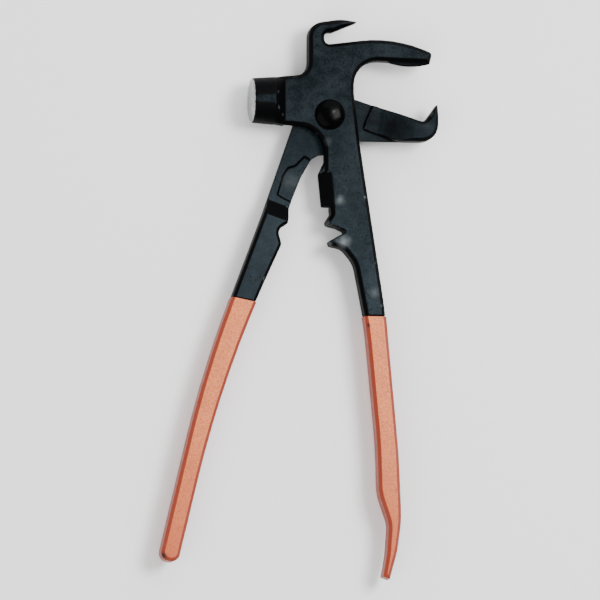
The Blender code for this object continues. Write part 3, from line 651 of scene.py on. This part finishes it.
@dataclass(frozen=True)
class DippedCoat:
    """An orange dipped skin: satin, a little uneven, with painted sheen making the flats paler and painted
    shade making the chamfers darker.

    It darkens towards the handle ends, from pale_to down to darkest_at, in millimetres from the rivet.
    """

    name: str
    # deep is painted shade on the chamfers, and also the colour of pits
    deep: tuple[float, float, float] = (0.25, 0.030, 0.009)
    body: tuple[float, float, float] = (0.44, 0.090, 0.020)
    rubbed: tuple[float, float, float] = (0.72, 0.205, 0.062)
    darker_towards_ends: tuple[float, float, float] = (0.40, 0.062, 0.014)
    steel: tuple[float, float, float] = (0.0020, 0.0012, 0.0012)
    roughness: float = 0.46
    specular: float = 0.3
    gloss: float = 0.06
    gloss_roughness: float = 0.3
    pale_to: float = -105.0
    darkest_at: float = -215.0
    nicks: tuple[RubbedSpot, ...] = ()

    def material(self, effects: SharedEffects) -> bpy.types.Material:
        """Builds the material.

        Args:
            effects: the shared node groups.

        Returns:
            The material.
        """
        material = bpy.data.materials.new(self.name)
        material.use_nodes = True
        sheet = NodeSheet(material.node_tree)
        shader = material.node_tree.nodes["Principled BSDF"]
        place = sheet.add("TexCoord")
        where, normal = place.outputs["Object"], place.outputs["Normal"]
        flat = effects.place(sheet, effects.flats, Normal=normal).outputs["Mask"]
        mottle = effects.place(sheet, effects.mottle, Vector=where, Contrast=1.0)
        grain = effects.place(sheet, effects.grain, Vector=where, Fineness=0.7).outputs["Height"]
        speckle = sheet.smooth(sheet.noise(where, COAT_SPECKLE_SCALE, 3.0, 0.6), 0.36, 0.62)
        cloud_share = sheet.math("MULTIPLY", mottle.outputs["Cloud"], 0.4)
        paler_share = sheet.math("ADD", cloud_share, sheet.math("MULTIPLY", speckle, 0.6))
        on_flat = sheet.blend(paler_share, (*self.body, 1), (*self.rubbed, 1))
        darker_towards_ends = effects.reach_mask(sheet, where, self.pale_to, self.darkest_at)
        on_flat = sheet.blend(sheet.math("MULTIPLY", darker_towards_ends, 0.75), on_flat, (*self.darker_towards_ends, 1))
        # painted shade and sheen: the chamfers take the darker deep orange, the flats their paler colours
        colour = sheet.blend(flat, (*self.deep, 1), on_flat)
        pits = sheet.smooth(sheet.noise(where, PIT_SCALE, 2.0), 0.64, 0.74)
        colour = sheet.blend(sheet.math("MULTIPLY", pits, 0.45), colour, (*self.deep, 1))
        for nick in self.nicks:
            colour = sheet.blend(effects.spot_mask(sheet, where, nick), colour, (*self.steel, 1))
        sheet.link(colour, shader.inputs["Base Color"])
        rough = sheet.math("MULTIPLY_ADD", mottle.outputs["Cloud"], 0.14)
        rough.node.inputs[2].default_value = self.roughness - 0.06
        sheet.link(rough, shader.inputs["Roughness"])
        height = sheet.math("SUBTRACT", grain, sheet.math("MULTIPLY", pits, 0.8))
        sheet.link(sheet.bump(height, 0.10 * MM, 0.5), shader.inputs["Normal"])
        shader.inputs["Specular IOR Level"].default_value = self.specular
        shader.inputs["Coat Weight"].default_value = self.gloss
        shader.inputs["Coat Roughness"].default_value = self.gloss_roughness
        return material


@dataclass(frozen=True)
class PaleTable:
    """The plain pale surface that the tool lies on."""

    name: str
    colour: tuple[float, float, float] = (0.93, 0.93, 0.93)
    roughness: float = 0.9
    specular: float = 0.1

    def material(self) -> bpy.types.Material:
        """Builds the material and returns it."""
        material = bpy.data.materials.new(self.name)
        material.use_nodes = True
        shader = material.node_tree.nodes["Principled BSDF"]
        shader.inputs["Base Color"].default_value = (*self.colour, 1)
        shader.inputs["Roughness"].default_value = self.roughness
        shader.inputs["Specular IOR Level"].default_value = self.specular
        return material


# ---- modelling ---------------------------------------------------------------------------------------
WELD_DISTANCE = 0.002 * MM
FLAT_ANGLE = math.radians(0.4)


def select_only(piece: bpy.types.Object) -> None:
    """Deselects everything, then selects piece and makes it active."""
    if bpy.context.object and bpy.context.object.mode != "OBJECT":
        bpy.ops.object.mode_set(mode="OBJECT")
    bpy.ops.object.select_all(action="DESELECT")
    piece.select_set(True)
    bpy.context.view_layer.objects.active = piece


def finish_with(piece: bpy.types.Object, kind: str, **settings: object) -> None:
    """Adds a modifier to a piece and applies it.

    Args:
        piece: the mesh object.
        kind: the modifier's type.
        settings: its properties.
    """
    select_only(piece)
    bpy.ops.object.modifier_add(type=kind)
    modifier = piece.modifiers[-1]
    for name, value in settings.items():
        setattr(modifier, name, value)
    bpy.ops.object.modifier_apply(modifier=modifier.name)


def copy_of_node(node: str, name: str) -> bpy.types.Object:
    """A welded copy of a CAD node's mesh, its flat faces whole again.

    Args:
        node: the CAD node.
        name: the copy's name.

    Returns:
        The copy, an object of its own at the origin.
    """
    piece = bpy.data.objects.new(name, frame["nodes"][node].data.copy())
    bpy.context.scene.collection.objects.link(piece)
    select_only(piece)
    bpy.ops.object.mode_set(mode="EDIT")
    bpy.ops.mesh.select_all(action="SELECT")
    bpy.ops.mesh.remove_doubles(threshold=WELD_DISTANCE)
    bpy.ops.mesh.dissolve_limited(angle_limit=FLAT_ANGLE)
    bpy.ops.object.mode_set(mode="OBJECT")
    if piece.data.has_custom_normals:
        bpy.ops.mesh.customdata_custom_splitnormals_clear()
    return piece


@dataclass
class SoftenedPart:
    """A CAD node remade with the rounded edges that a forging or a dipped coat has."""

    node: str
    name: str
    body: Body
    slot: Slot
    voxel: float = 0.42 * MM
    passes: int = 4
    kept_share: float = 0.35

    def soften(self) -> bpy.types.Object:
        """Builds the part's mesh: even small faces, smoothed over every edge, then thinned out.

        Returns:
            The finished mesh object.
        """
        piece = copy_of_node(self.node, self.name)
        finish_with(piece, "REMESH", mode="VOXEL", voxel_size=self.voxel, adaptivity=0.0)
        finish_with(piece, "SMOOTH", factor=0.5, iterations=self.passes)
        finish_with(piece, "DECIMATE", decimate_type="COLLAPSE", ratio=self.kept_share)
        select_only(piece)
        bpy.ops.object.shade_smooth()
        return piece

    def settle(self, piece: bpy.types.Object, material: bpy.types.Material) -> None:
        """Gives a piece its finish and its body, in the CAD node's place."""
        piece.data.materials.clear()
        piece.data.materials.append(material)
        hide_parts(self.node)
        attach(piece, self.body.value)
        log.info("%s: %d faces on %s", piece.name, len(piece.data.polygons), self.body.value)


@dataclass
class HammerLever(SoftenedPart):
    """The front lever: poll, hook, upper jaw, cutter block, V-notch and shank."""

    face_depth: float = 1.3 * MM
    face_lean: float = -0.62

    def build(self, oxide: bpy.types.Material, ground: bpy.types.Material) -> None:
        """Builds the lever and grinds its striking face.

        Args:
            oxide: the forging's finish.
            ground: the striking face's finish.
        """
        piece = self.soften()
        self.settle(piece, oxide)
        piece.data.materials.append(ground)
        face_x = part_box(self.node)[0].x
        for polygon in piece.data.polygons:
            if polygon.center.x < face_x + self.face_depth and polygon.normal.x < self.face_lean:
                polygon.material_index = 1


@dataclass
class ClawLever(SoftenedPart):
    """The rear lever: claw, joint disc, cutter pocket and shank."""

    def build(self, oxide: bpy.types.Material) -> None:
        """Builds the lever in its finish."""
        self.settle(self.soften(), oxide)


@dataclass
class DippedHandle(SoftenedPart):
    """A coat on a handle, slightly uneven as dipping leaves it."""

    sag: float = 0.10 * MM
    ripple_size: float = 9 * MM

    def build(self, coat: bpy.types.Material) -> None:
        """Builds the coat in its finish."""
        piece = self.soften()
        ripple = bpy.data.textures.new(self.name + "_ripple", "CLOUDS")
        ripple.noise_scale = self.ripple_size
        finish_with(
            piece, "DISPLACE", texture=ripple, strength=self.sag, mid_level=0.5, texture_coords="LOCAL"
        )
        self.settle(piece, coat)


@dataclass
class PivotRivet(SoftenedPart):
    """The domed rivet, which keeps its turned shape and only loses its sharp edges."""

    edge_width: float = 0.15 * MM
    edge_segments: int = 2
    bevelled_from: float = math.radians(40)
    sharp_from: float = math.radians(35)

    def build(self, black: bpy.types.Material) -> None:
        """Builds the rivet in its finish."""
        piece = copy_of_node(self.node, self.name)
        finish_with(
            piece,
            "BEVEL",
            width=self.edge_width,
            segments=self.edge_segments,
            limit_method="ANGLE",
            angle_limit=self.bevelled_from,
        )
        select_only(piece)
        bpy.ops.object.shade_smooth_by_angle(angle=self.sharp_from)
        self.settle(piece, black)


# ---- studio ------------------------------------------------------------------------------------------
@dataclass(frozen=True)
class Softbox:
    """A square light that faces the tool.

    Direction runs from the tool to the light. Distance and size are in metres, power in watts.
    """

    name: str
    direction: tuple[float, float, float]
    distance: float
    size: float
    power: float

    def hang(self) -> None:
        """Adds the light to the scene."""
        lamp = bpy.data.lights.new(self.name, "AREA")
        lamp.size = self.size
        lamp.energy = self.power
        light = bpy.data.objects.new(self.name, lamp)
        bpy.context.scene.collection.objects.link(light)
        towards = Vector(self.direction).normalized()
        light.location = towards * self.distance
        light.rotation_euler = towards.to_track_quat("Z", "Y").to_euler()


@dataclass
class Studio:
    """The table, the lights and the camera."""

    view_side: float = math.radians(10.0)
    view_below: float = math.radians(6.0)
    lens: float = 600.0
    sensor_width: float = 36.0
    frame_width: float = 276 * MM
    middle: tuple[float, float] = (-13.1, -85.6)
    table_size: float = 4.0
    table_divisions: int = 8
    surroundings: float = 0.6
    softboxes: tuple[Softbox, ...] = (
        Softbox("main_softbox", (0.42, 0.19, 0.886), 1.5, 0.55, 24.0),
        Softbox("upper_fill", (0.30, 0.70, 0.65), 2.0, 2.0, 26.0),
        Softbox("left_fill", (-0.45, -0.35, 0.82), 2.0, 2.0, 26.0),
    )

    def lay_table(self, surface: bpy.types.Material) -> None:
        """Adds the table under the tool."""
        bpy.ops.object.select_all(action="DESELECT")
        bpy.ops.mesh.primitive_grid_add(
            x_subdivisions=self.table_divisions,
            y_subdivisions=self.table_divisions,
            size=self.table_size,
            location=(0, 0, 0),
        )
        table = bpy.context.object
        table.name = "table"
        table.data.materials.append(surface)

    def light(self) -> None:
        """Sets the softboxes and the even surroundings."""
        for softbox in self.softboxes:
            softbox.hang()
        world = bpy.data.worlds.new("studio_surroundings")
        bpy.context.scene.world = world
        world.use_nodes = True
        background = world.node_tree.nodes["Background"]
        background.inputs["Color"].default_value = (1, 1, 1, 1)
        background.inputs["Strength"].default_value = self.surroundings

    def place_camera(self) -> None:
        """Sets the camera at the photograph's angle, with a long lens."""
        right = Vector((math.cos(self.view_side), 0, math.sin(self.view_side)))
        up = Vector((0, math.cos(self.view_below), math.sin(self.view_below)))
        towards = right.cross(up).normalized()
        up = towards.cross(right)
        camera_data = bpy.data.cameras.new("camera")
        camera_data.lens = self.lens
        camera_data.sensor_width = self.sensor_width
        camera = bpy.data.objects.new("camera", camera_data)
        bpy.context.scene.collection.objects.link(camera)
        distance = self.frame_width * self.lens / camera_data.sensor_width
        centre = from_pivot(*self.middle)
        turned = Matrix((right, up, towards)).transposed().to_4x4()
        camera.matrix_world = Matrix.Translation(centre + towards * distance) @ turned
        bpy.context.scene.camera = camera


def main() -> None:
    """Builds the tool piece by piece, then the studio round it."""
    effects = SharedEffects()
    hammer_oxide = BlackOxide(
        "hammer_lever_black_oxide", spots=HAMMER_RUBBED, scratches=HAMMER_SCRATCHES
    ).material(effects)
    claw_oxide = BlackOxide(
        "claw_lever_black_oxide",
        mottle=0.7,
        pale_from=-45.0,
        # a wider band counts as flat on the claw, so less of its ramp takes the painted shade
        flat_from=0.90,
        flat_to=0.96,
        spots=CLAW_RUBBED,
        shade_spots=CLAW_PAINTED_SHADE,
    ).material(effects)
    ground = GroundSteel("ground_striking_face").material(effects)
    rivet_black = BlackenedRivet("oiled_rivet_black").material(effects)
    coat = DippedCoat("orange_dipped_coat", nicks=COAT_NICKS).material(effects)

    HammerLever("hammer_lever", "forged_hammer_lever", Body.HAMMER, Slot.STEEL).build(hammer_oxide, ground)
    ClawLever("claw_lever", "forged_claw_lever", Body.CLAW, Slot.STEEL).build(claw_oxide)
    PivotRivet("pivot_rivet", "domed_pivot_rivet", Body.HAMMER, Slot.RIVET).build(rivet_black)
    for node, name, body in (
        ("hammer_lever_grip", "dipped_hammer_handle", Body.HAMMER),
        ("claw_lever_grip", "dipped_claw_handle", Body.CLAW),
    ):
        DippedHandle(node, name, body, Slot.COAT, voxel=0.2 * MM, passes=6, kept_share=0.12).build(coat)

    studio = Studio()
    studio.lay_table(PaleTable("pale_table").material())
    studio.light()
    studio.place_camera()


if __name__ == "__main__":
    main()
